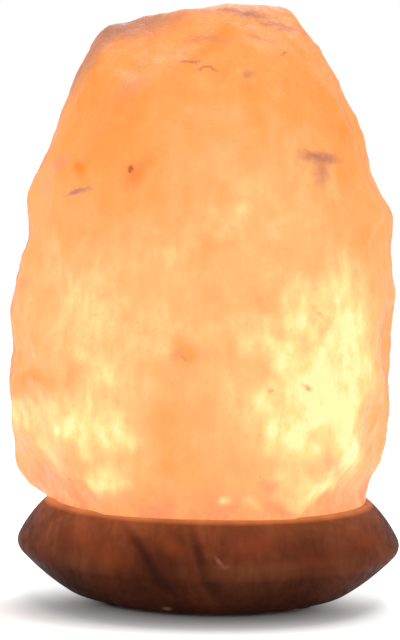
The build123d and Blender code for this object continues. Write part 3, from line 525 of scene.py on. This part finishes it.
# ---- salt ------------------------------------------------------------------------------------------------
# coloured marks held in the salt, the first seven being grey-brown painted shade over the crystal's top:
# centre, half size (mm), softness, screen colour, strength, lean
SALT_MARKS_AND_TOP_SHADE = [
    # painted shade: this and the next six grey-brown marks darken the crystal's top and its upper left
    # corner
    ((-37, -16, 190), (24, 60, 13), 1.0, "6a544e", 1.0, 0.0),
    ((-43, -16, 178), (10, 50, 20), 1.0, "8f6a58", 0.80, 0.5),
    ((-24, -20, 190), (22, 60, 8), 1.0, "a27e6c", 0.60, 0.0),
    ((-20, -16, 196), (26, 60, 9), 1.0, "96705c", 0.80, 0.0),
    ((8, -16, 200), (34, 70, 11), 1.0, "8f5e44", 0.95, 0.0),
    ((8, -36, 191), (16, 50, 2.8), 1.0, "7e5648", 0.90, -3.0),
    ((22, -36, 187.5), (16, 50, 2.4), 1.0, "845c4c", 0.85, -3.0),
    ((-9, -48, 173.0), (5.4, 30, 1.1), 0.9, "9a5a44", 0.78, -3.4),
    ((-3.4, -48, 170.4), (4.6, 30, 1.0), 0.9, "9a5a44", 0.72, -2.6),
    ((-11, -48, 176.5), (4.4, 24, 2.6), 1.0, "c47a52", 0.60, -1.0),
    ((9.5, -48, 168.8), (2.8, 24, 2.2), 0.9, "b0684a", 0.75, 0.5),
    ((21.5, -44, 177), (1.5, 24, 1.4), 0.8, "9a5a44", 0.90, 0.0),
    ((-27, -44, 165), (8, 30, 7), 1.0, "cf8c68", 0.50, 0.8),
    ((-4, -40, 181), (12, 40, 2.0), 1.0, "b07458", 0.55, -2.2),
    ((14, -40, 182), (9, 40, 1.4), 1.0, "a86c50", 0.60, -2.6),
    ((32.5, -42, 143), (10.5, 26, 3.0), 0.9, "a26c55", 1.0, 0.0),
    ((33.0, -42, 138.5), (4.6, 26, 7.5), 1.0, "b87a58", 0.85, 0.1),
    ((-24.5, -48, 136.5), (6.6, 26, 8.6), 1.0, "ea7c34", 0.75, 0.5),
    ((-26.4, -48, 138.0), (1.3, 20, 1.6), 0.7, "a04824", 0.90, 0.0),
    ((-43, -38, 139), (4.0, 24, 4.0), 0.9, "f07e18", 0.95, 0.0),
    ((-43, -38, 131.4), (5.6, 26, 1.5), 0.9, "a07272", 0.95, 3.0),
    ((-50, -30, 141), (5.5, 24, 4.0), 1.0, "d48e74", 0.60, 0.6),
    ((-54, -24, 134), (4.0, 24, 4.5), 1.0, "d8947a", 0.45, 0.0),
    ((-62, -10, 103), (5, 30, 4), 1.0, "d98a6c", 0.55, 0.5),
    ((-56, -22, 70), (9, 24, 4.5), 1.0, "ef9468", 0.60, 0.8),
    ((-11, -54, 81), (4.0, 18, 3.2), 0.9, "e8835a", 0.65, 0.0),
    ((-8.5, -54, 80), (1.2, 14, 1.2), 0.8, "d0683f", 0.50, 0.0),
    ((17.5, -52, 70.8), (1.5, 18, 1.7), 0.9, "e27a50", 0.70, 0.0),
    ((28.8, -50, 71.6), (2.0, 18, 1.8), 0.9, "e27a50", 0.75, -0.8),
    ((32.0, -48, 93.8), (1.8, 18, 0.9), 0.9, "e88a5c", 0.60, 0.0),
    ((14.5, -52, 96), (2.6, 18, 5.0), 1.0, "ea965f", 0.45, 0.0),
    ((27, -48, 104), (2.6, 18, 9.0), 1.0, "ec9a66", 0.40, 0.2),
    ((36, -46, 48), (4.5, 18, 6.5), 0.9, "f0a070", 0.60, -0.3),
    ((17.5, -52, 41.5), (5, 18, 3.4), 1.0, "ee8c6a", 0.65, 0.0),
    ((-54, -24, 41), (12, 30, 7), 1.0, "ea9066", 0.65, -0.6),
    ((-36, -42, 36), (9, 20, 3.4), 1.0, "e89272", 0.55, 0.0),
    ((56, -24, 38), (10, 30, 7), 1.0, "ee9a6a", 0.60, 0.6),
    ((24, 52, 130), (8, 22, 3), 0.8, "b47f6c", 0.75, 0.8),
    ((-30, 44, 118), (6, 22, 8), 1.0, "e8834a", 0.60, 0.4),
    ((-8, 52, 158), (9, 22, 1.2), 0.8, "a8654c", 0.65, -1.4),
    ((62, 12, 84), (20, 6, 3), 1.0, "dd8a66", 0.55, 0.0),
]

LIT_HEIGHT, LIT_HALF = 70.0 * MM, 12.0 * MM  # of the bulb's glowing part: its middle and half its length
NEAR, FAR = 54.0 * MM, 122.0 * MM  # ways from that part to where the glow is strongest and where it is least
NEAR_GLOW, FAR_GLOW = 0.56, 0.12
RIM_LOW, RIM_HIGH = 32.0 * MM, 46.0 * MM  # heights between which the salmon rim at the foot fades
VEIN_STRETCH = (1.0, 1.0, 0.45)  # veins and cells are longer upright
# the glow's colours, from the thickest salt to the thinnest
GLOW_TONES = [
    (0.0, "ea8028"), (0.15, "ee8c36"), (0.35, "f09e50"), (0.5, "f0ac68"), (0.62, "f2b874"), (0.75, "f4ca84"),
    (0.88, "f8e090"), (1.0, "fff4ae"),
]


def salt_glow(tree, here):
    """The glow that fades with the way from the bulb's glowing part, an upright line, to the surface."""
    apart = tree.axes(here)
    below = tree.math("ABSOLUTE", tree.math("SUBTRACT", apart["Z"], LIT_HEIGHT))
    rise = tree.math("MAXIMUM", tree.math("SUBTRACT", below, LIT_HALF), 0.0)
    way = tree.length(tree.add("ShaderNodeCombineXYZ", X=apart["X"], Y=apart["Y"], Z=rise))
    return tree.span(way, FAR, NEAR, FAR_GLOW, NEAR_GLOW, smooth=False)


def salt_material():
    """Rock salt lit from inside: its glow is broken by clouds, thin upright veins and fractures, and runs
    from deep orange to pale yellow. Coloured marks lie in it, grey-brown painted shade over its top, and a
    salmon rim along its foot. The finest veins fade where the surface turns away, and the glow is darkened
    there, a painted shade."""
    salt, tree, shader = new_material("salt", Emission_Strength=1.0, Specular_IOR_Level=0.22, IOR=1.54)
    here = tree.place()
    broad = tree.wobble(here, 42.0, 3.0)
    small = tree.wobble(here, 260.0, 4.0, 0.6)
    bent = tree.shifted(tree.shifted(here, broad, (16, 16, 20)), small, (6, 6, 6))
    near = tree.shifted(here, small, (5, 5, 5))
    calm = tree.shifted(here, small, (1.5, 1.5, 1.5))
    cloud = tree.noise(bent, 24.0, 6.0, 0.62)
    fine = tree.noise(calm, 95.0, 5.0, 0.66)
    upright = tree.noise(tree.vector("MULTIPLY", calm, VEIN_STRETCH), 190.0, 4.0, 0.62)
    slant = tree.add("ShaderNodeLayerWeight", "Facing", Blend=0.5)
    detail = tree.total(tree.span(fine, 0.3, 0.7, -0.06, 0.06), tree.span(upright, 0.35, 0.7, -0.045, 0.045))
    detail = tree.times(detail, tree.span(slant, 0.40, 0.85, 1.0, 0.1))
    glow = tree.total(salt_glow(tree, here), tree.span(cloud, 0.3, 0.7, -0.06, 0.06), detail)
    clouds = tree.add("ShaderNodeAttribute", "Fac", {"attribute_name": "clouds"})
    broken = tree.total(tree.span(fine, 0.3, 0.7, 0.4, 0.6), tree.span(upright, 0.3, 0.7, 0.38, 0.62))
    glow = tree.math("MULTIPLY_ADD", clouds, broken, glow)
    cells = tree.add("ShaderNodeTexVoronoi", "Distance", {"feature": "DISTANCE_TO_EDGE"},
                     Vector=tree.vector("MULTIPLY", bent, VEIN_STRETCH), Scale=62.0)
    thin = tree.span(cells, 0.035, 0.0)
    some = tree.span(tree.noise(here, 36.0, 2.0), 0.52, 0.66)
    glow = tree.math("MULTIPLY_ADD", tree.times(thin, some), 0.05, glow)
    tone = marked(tree, tree.ramp(glow, GLOW_TONES), near, SALT_MARKS_AND_TOP_SHADE)
    rim = tree.span(tree.axes(here)["Z"], RIM_HIGH, RIM_LOW)
    rim = tree.times(rim, tree.span(fine, 0.36, 0.62, 0.15, 0.8))
    rim = tree.times(rim, tree.span(clouds, 0.06, 0.26, 1.0, 0.15))
    tone = tree.mix(rim, tone, srgb("e6865c"))
    speck = tree.span(tree.noise(here, 900.0, 2.0, 0.5), 0.66, 0.74, 0.0, 0.35)
    tone = tree.mix(tree.times(speck, tree.span(cloud, 0.45, 0.6)), tone, srgb("c9764a"))
    # painted shade: the glow darkened towards the outline, where the surface turns away
    tone = tree.mix(tree.span(slant, 0.72, 1.0, 0.0, 0.75), tone, srgb("b0603a"))
    tree.give(shader["Emission Color"], tone)
    tree.give(shader["Base Color"], tree.mix(cloud, srgb("8a4628"), srgb("733518")))
    tree.give(shader["Roughness"], tree.span(fine, 0.3, 0.7, 0.40, 0.66))
    height = tree.total(tree.noise(here, 420.0, 6.0, 0.65), tree.times(fine, 1.5), tree.times(thin, -0.3))
    tree.give(shader["Normal"], tree.bump(height, 0.4, 1.2 * MM))
    return salt


# ---- wood ------------------------------------------------------------------------------------------------
# streaks of the stain at the front, and reddish clouds on the upper bevel that are painted highlights, with
# the same columns as the salt's marks
WOOD_STAIN_AND_HIGHLIGHTS = [
    ((-19.0, -56, 20.0), (3.2, 30, 14.0), 1.0, "2a1108", 0.85, -0.73),
    ((-15.0, -54, 13.0), (2.8, 30, 9.0), 1.0, "2c130a", 0.60, -0.9),
    ((-2.7, -58, 20.0), (3.0, 30, 17.0), 1.0, "2a1108", 0.85, -0.34),
    ((1.6, -56, 13.0), (3.8, 30, 9.0), 1.0, "2c130a", 0.55, -0.5),
    ((15.0, -56, 18.0), (2.0, 30, 14.0), 1.0, "34170b", 0.40, -0.5),
    ((38.0, -50, 16.0), (2.4, 30, 12.0), 1.0, "34170b", 0.45, -0.9),
    # painted highlights: this and the next five reddish clouds on the upper bevel
    ((-12.0, -62, 24.0), (5.0, 14, 5.0), 1.0, "7a3418", 0.50, -0.5),
    ((-38, -46, 23), (12, 22, 6), 1.0, "74341a", 0.45, 0.0),
    ((-30, -52, 19), (9, 20, 5), 1.0, "7a3419", 0.60, -0.6),
    ((12, -58, 24), (12, 20, 5), 1.0, "72321a", 0.55, 0.0),
    ((34, -50, 19), (14, 22, 6), 1.0, "622b14", 0.60, -0.4),
    ((50, -36, 23), (12, 22, 5), 1.0, "7a3619", 0.60, 0.0),
    ((-54, -32, 16), (12, 24, 5), 1.0, "3e190b", 0.65, 0.0),
    ((2.8, -62, 20.0), (1.3, 14, 2.2), 1.0, "a07054", 0.34, -0.9),
    ((5.0, -62, 18.6), (1.8, 14, 0.9), 1.0, "a07054", 0.18, 0.8),
    ((-13.3, -50, 2.7), (2.4, 14, 1.3), 1.0, "c08a62", 0.80, 0.0),
]

GRAIN_TURN = (0, radians(-33), 0)  # the grain slants across the front
GRAIN_STRETCH = (1.0, 0.35, 0.16)  # and runs long that way
WORN_WIDTH = 1.8 * MM  # of the paler stripe along the widest rim
TOP_FADE = 2.0 * MM  # below the ledge, where its glow ends
LEDGE_IN, LEDGE_OUT = 53.0 * MM, 64.0 * MM  # reaches between which the ledge's glow falls
SKIRT_LOW, SKIRT_HIGH = 23.5 * MM, 31.2 * MM  # heights between which the upper bevel's glow grows
WARM_LOW, WARM_HIGH = 12.0 * MM, 28.0 * MM  # heights between which the bevel's warm light grows
WARM_LEFT, WARM_RIGHT = 10.0 * MM, 50.0 * MM  # places across, between which that light falls


def wood_tone(tree, here, near, cloud, fibre, bands):
    """The stain: slanting growth bands and short fibres over soft clouds, with mottles and streaks, and
    reddish clouds of painted highlight on the upper bevel.
    """
    tone = tree.ramp(cloud, [(0.32, "4a2010"), (0.5, "5e2c18"), (0.68, "723b24")])
    tone = tree.mix(tree.span(bands, 0.40, 0.62, 0.0, 0.50), tone, srgb("3a190d"))
    tone = tree.mix(tree.span(fibre, 0.46, 0.66, 0.0, 0.22), tone, srgb("31140a"))
    mottle = tree.noise(here, 150.0, 4.0, 0.65)
    tone = tree.mix(tree.span(mottle, 0.50, 0.72, 0.0, 0.20), tone, srgb("784128"))
    return marked(tree, tone, near, WOOD_STAIN_AND_HIGHLIGHTS)


def wood_light(tree, apart, reach, cloud, tone):
    """The salt's light on the wood: caught on the ledge about its foot, and faint and warm on the bevel
    below, where it keeps the wood's own tone."""
    top = tree.span(apart["Z"], LEDGE_HEIGHT - TOP_FADE, LEDGE_HEIGHT)
    ledge = tree.times(top, tree.span(reach, LEDGE_OUT, LEDGE_IN, 0.35, 1.0))
    skirt = tree.times(tree.span(apart["Z"], SKIRT_LOW, SKIRT_HIGH), 0.16)
    uneven = tree.span(cloud, 0.3, 0.7, 0.6, 1.1)
    lit = tree.mix(tree.times(tree.math("MAXIMUM", ledge, skirt), uneven), BLACK, srgb("cc7440"))
    across = tree.span(apart["X"], WARM_LEFT, WARM_RIGHT, 1.0, 0.3)
    warm = tree.times(tree.span(apart["Z"], WARM_LOW, WARM_HIGH), across)
    return tree.mix(1.0, lit, tree.mix(warm, BLACK, tone), "ADD")


def wood_material():
    """Dark stained hardwood with a paler worn rim, with painted shade where it turns away, and lit by the
    salt.
    """
    wood, tree, shader = new_material("wood", Specular_IOR_Level=0.05, Emission_Strength=1.0)
    here = tree.place()
    apart = tree.axes(here)
    warp = tree.wobble(here, 26.0, 3.0)
    bent = tree.shifted(here, warp, (14, 14, 8))
    near = tree.shifted(here, warp, (4, 4, 3))
    cloud = tree.noise(bent, 30.0, 4.0, 0.6)
    grain = tree.add("ShaderNodeMapping", Vector=bent, Rotation=GRAIN_TURN, Scale=GRAIN_STRETCH)
    fibre = tree.noise(grain, 420.0, 4.0, 0.7)
    bands = tree.noise(grain, 70.0, 4.0, 0.6)
    tone = wood_tone(tree, here, near, cloud, fibre, bands)
    reach = tree.length(tree.add("ShaderNodeCombineXYZ", X=apart["X"], Y=apart["Y"]))
    worn = tree.times(tree.span(reach, RIM_REACH - WORN_WIDTH, RIM_REACH), tree.span(cloud, 0.35, 0.65))
    tone = tree.mix(tree.times(worn, 0.35), tone, srgb("80482c"))
    # painted shade: the base colour darkened where the surface turns away
    shade_where_turned = tree.add("ShaderNodeLayerWeight", "Facing", Blend=0.5)
    tone = tree.mix(tree.span(shade_where_turned, 0.60, 1.0, 0.0, 0.65), tone, srgb("2a120a"))
    tree.give(shader["Base Color"], tone)
    tree.give(shader["Emission Color"], wood_light(tree, apart, reach, cloud, tone))
    tree.give(shader["Roughness"], tree.span(fibre, 0.3, 0.7, 0.50, 0.72))
    height = tree.math("SUBTRACT", tree.times(cloud, 0.5), fibre)
    tree.give(shader["Normal"], tree.bump(height, 0.2, 0.3 * MM))
    return wood


# ---- the plainer finishes --------------------------------------------------------------------------------
# name: light and dark tone, cloud scale, smoothest and dullest roughness, dirt, bump height (mm), constants
FINISHES = {
    "felt": ("3c2f2a", "241b18", 900.0, 0.85, 1.0, 0.5, 0.30,
             {"Specular_IOR_Level": 0.1, "Sheen_Weight": 0.5}),
    "screw_steel": ("c9c7c0", "a39f95", 260.0, 0.22, 0.42, 0.3, 0.02, {"Metallic": 1.0}),
    "nylon": ("8f9296", "7f8287", 120.0, 0.35, 0.55, 0.2, 0.03, {}),
    "holder_plastic": ("26221f", "1b1816", 160.0, 0.22, 0.42, 0.3, 0.02, {}),
    "gland_rubber": ("1d1c1b", "121110", 300.0, 0.6, 0.85, 0.4, 0.06, {"Specular_IOR_Level": 0.3}),
    "steatite": ("e8e2d4", "d5ccb9", 200.0, 0.35, 0.6, 0.3, 0.04, {}),
    "brass": ("d2a455", "a67b34", 220.0, 0.18, 0.45, 0.4, 0.015, {"Metallic": 1.0}),
    "contact_bronze": ("c98a4e", "9c6430", 240.0, 0.2, 0.45, 0.4, 0.015, {"Metallic": 1.0}),
    "spring_steel": ("b3b2ae", "7f8184", 200.0, 0.18, 0.4, 0.4, 0.015,
                     {"Metallic": 1.0, "Anisotropic": 0.4}),
    "black_glass": ("15151a", "0b0b0e", 150.0, 0.08, 0.2, 0.2, 0.01, {"Coat_Weight": 0.3}),
    "bulb_cap_metal": ("c4c1ba", "98938a", 240.0, 0.2, 0.45, 0.4, 0.015, {"Metallic": 1.0}),
    "solder": ("b9bbbd", "83868a", 500.0, 0.25, 0.55, 0.5, 0.03, {"Metallic": 1.0}),
    "wire": ("b5856a", "8f6047", 400.0, 0.25, 0.5, 0.3, 0.01, {"Metallic": 1.0}),
}


def plain_material(name, light, dark, scale, smooth, dull, dirt, bump_height, constants):
    """A finish made of the shared worked surface, with its own tones, scale and gloss."""
    material, tree, shader = new_material(name, **constants)
    worked(tree, shader, light, dark, scale, smooth, dull, dirt, bump_height, strength=0.5)
    return material


def glass_material(name, tint, smooth, dull):
    """Blown glass: clear and faintly wavy, with a trace of dust in its gloss."""
    material, tree, shader = new_material(name, Transmission_Weight=1.0, IOR=1.5)
    worked(tree, shader, tint, "e9e6df", scale=60.0, smooth=smooth, dull=dull, dirt=0.1, bump_height=0.05,
           strength=0.2)
    return material


def tungsten_material():
    """The hot filament: an orange-white glow that is a little uneven along the coil."""
    material, tree, shader = new_material("tungsten", Metallic=1.0, Roughness=0.4, Emission_Strength=6.0)
    made = tree.group(FINISH, Place=tree.place(), Light=srgb("ffd9a0"), Dark=srgb("ffb060"), Scale=500.0,
                      Dirt=0.0)
    tree.give(shader["Base Color"], made["Colour"])
    tree.give(shader["Emission Color"], made["Colour"])
    return material


# ---- put the finishes on ---------------------------------------------------------------------------------
materials = {name: plain_material(name, *values) for name, values in FINISHES.items()}
materials["salt"] = salt_material()
materials["wood"] = wood_material()
materials["bulb_glass"] = glass_material("bulb_glass", "fbf6ec", 0.03, 0.12)
materials["stem_glass"] = glass_material("stem_glass", "eef4f2", 0.05, 0.15)
materials["tungsten"] = tungsten_material()
FINISH_OF = {
    "salt_crystal": "salt", "wood_base": "wood", "felt_pads": "felt", "crystal_screws": "screw_steel",
    "screw_washers": "screw_steel", "screw_anchors": "nylon", "holder_cap": "holder_plastic",
    "holder_barrel": "holder_plastic", "cord_gland": "gland_rubber", "contact_carrier": "steatite",
    "screw_shell": "brass", "centre_contact": "contact_bronze", "contact_rivets": "brass",
    "terminal_blocks": "brass", "terminal_screws": "screw_steel", "clip_band": "spring_steel",
    "clip_arm_left": "spring_steel", "clip_arm_right": "spring_steel", "bulb_contact": "solder",
    "bulb_insulator": "black_glass", "bulb_cap": "bulb_cap_metal", "bulb_glass": "bulb_glass",
    "bulb_stem": "stem_glass", "bulb_leads": "wire", "bulb_supports": "wire", "bulb_filament": "tungsten",
}
for node_name, finish in FINISH_OF.items():
    mesh = NODES[node_name].data
    mesh.materials.clear()
    mesh.materials.append(materials[finish])

skin = crystal_skin()
skin.data.materials.append(materials["salt"])
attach(skin, "lamp")
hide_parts("salt_crystal")


# ---- the studio ------------------------------------------------------------------------------------------
FLOOR_COLUMNS, FLOOR_ROWS = 96, 24
FLOOR_INNER = 50.0 * MM  # the smallest ring's radius
FLOOR_GROWTH = 1.27  # each next ring's radius as a share of the last one's
PAINTED_SHADOW_CENTRE = (-5.0 * MM, -41.0 * MM, 0.0)  # of the painted shadow, an ellipse forward of the base inside which the floor's white glow is held back
PAINTED_SHADOW_HALF = (73.0 * MM, 31.0 * MM, 1.0)
PAINTED_SHADOW_SPAN = 0.40, 1.50  # shares of the painted shadow's half size between which the floor grows white
FLOOR_GREY, FLOOR_LIFT = 0.8, 0.9  # the floor's own grey, and the light that whitens it
CLEAR_IN, CLEAR_OUT = 38.0 * MM, 40.0 * MM  # reaches between which the clear patch under the base ends


def floor_piece():
    """A flat pale disc on the table's level: rings whose radii grow evenly in ratio from the middle out."""
    reach = FLOOR_INNER * FLOOR_GROWTH ** np.arange(FLOOR_ROWS)
    flat = rings(reach, np.zeros(FLOOR_ROWS), FLOOR_COLUMNS).reshape(-1, 3)
    i, j = np.meshgrid(np.arange(FLOOR_ROWS - 1) * FLOOR_COLUMNS, np.arange(FLOOR_COLUMNS), indexing="ij")
    k = (j + 1) % FLOOR_COLUMNS
    quads = np.stack([i + j, i + FLOOR_COLUMNS + j, i + FLOOR_COLUMNS + k, i + k], axis=-1).reshape(-1, 4)
    fan = np.stack([np.full(FLOOR_COLUMNS, len(flat)), j[0], k[0]], axis=-1)
    return put_mesh("floor", np.concatenate([flat, [[0, 0, 0]]]), (quads, fan))


def floor_material():
    """A pale matt floor that shows white to the camera and keeps the lamp's shadow, partly painted: the glow
    that whitens it is held back inside an ellipse forward of the base. It is clear when seen from below, and
    for all but the camera's rays also under the base, so that light reaches the lamp's underside and it can
    be looked at."""
    material, tree, shader = new_material("floor", Base_Color=(*[FLOOR_GREY] * 3, 1.0), Roughness=0.9,
                                          Specular_IOR_Level=0.1, Emission_Strength=1.0)
    seen, camera_ray = tree.seen_rays()
    here = tree.place()
    apart = tree.vector("DIVIDE", tree.vector("SUBTRACT", here, PAINTED_SHADOW_CENTRE), PAINTED_SHADOW_HALF)
    # painted shadow: the floor's white glow grows only outside an ellipse forward of the base
    lift = tree.times(seen, tree.span(tree.length(apart), *PAINTED_SHADOW_SPAN, 0.0, FLOOR_LIFT))
    tree.give(shader["Emission Color"], tree.add("ShaderNodeCombineColor", i0=lift, i1=lift, i2=lift))
    under = tree.span(tree.length(here), CLEAR_OUT, CLEAR_IN)
    under = tree.times(under, tree.math("SUBTRACT", 1.0, camera_ray))
    clear = tree.math("MAXIMUM", under, tree.add("ShaderNodeNewGeometry", "Backfacing"))
    nodes = material.node_tree.nodes
    mixed = tree.add("ShaderNodeMixShader", "Shader", i0=clear, i1=nodes["Principled BSDF"].outputs["BSDF"],
                     i2=tree.add("ShaderNodeBsdfTransparent", "BSDF"))
    tree.give(nodes["Material Output"].inputs["Surface"], mixed)
    return material


floor = floor_piece()
floor.data.materials.append(floor_material())

WORLD_LIGHT, WORLD_SEEN = 0.42, 1.0  # strength as a light, and as it is seen behind the lamp
world = bpy.data.worlds.new("studio")
bpy.context.scene.world = world
world.use_nodes = True
air = Tree(world.node_tree)
background = world.node_tree.nodes["Background"].inputs
air_strength = air.span(air.seen_rays()[0], 0.0, 1.0, WORLD_LIGHT, WORLD_SEEN, smooth=False)
air.give(background["Strength"], air_strength)
background["Color"].default_value = (1, 1, 1, 1)

# name: place and size (m), power (W)
LIGHTS = {
    "overhead": ((0.10, 0.34, 1.1), 0.9, 12.5),
    "key": ((-0.6, -0.9, 0.8), 0.8, 3.2),
    "fill": ((0.7, -0.8, 0.7), 0.8, 2.1),
}
LIGHT_AIM = (0, 0, 0.09)


def soft_lamp(name, place, size, power):
    """A square soft light that is turned towards the lamp's middle."""
    light = bpy.data.lights.new(name, "AREA")
    light.size, light.energy = size, power
    lamp = bpy.data.objects.new(name, light)
    bpy.context.scene.collection.objects.link(lamp)
    lamp.location = place
    lamp.rotation_euler = (Vector(place) - Vector(LIGHT_AIM)).to_track_quat("Z", "Y").to_euler()


for light_name, values in LIGHTS.items():
    soft_lamp(light_name, *values)

CAMERA_PLACE = (-0.00407, -0.4536, 0.0917)
CAMERA_ROLL = -0.017
LENS, SENSOR_WIDTH = 74.0, 36.0  # mm
camera = bpy.data.objects.new("camera", bpy.data.cameras.new("camera"))
bpy.context.scene.collection.objects.link(camera)
camera.data.lens, camera.data.sensor_width = LENS, SENSOR_WIDTH
camera.data.clip_start = 0.01
camera.location = CAMERA_PLACE
camera.rotation_euler = (pi / 2, CAMERA_ROLL, 0)
bpy.context.scene.camera = camera
bpy.context.scene.view_settings.view_transform = "Standard"
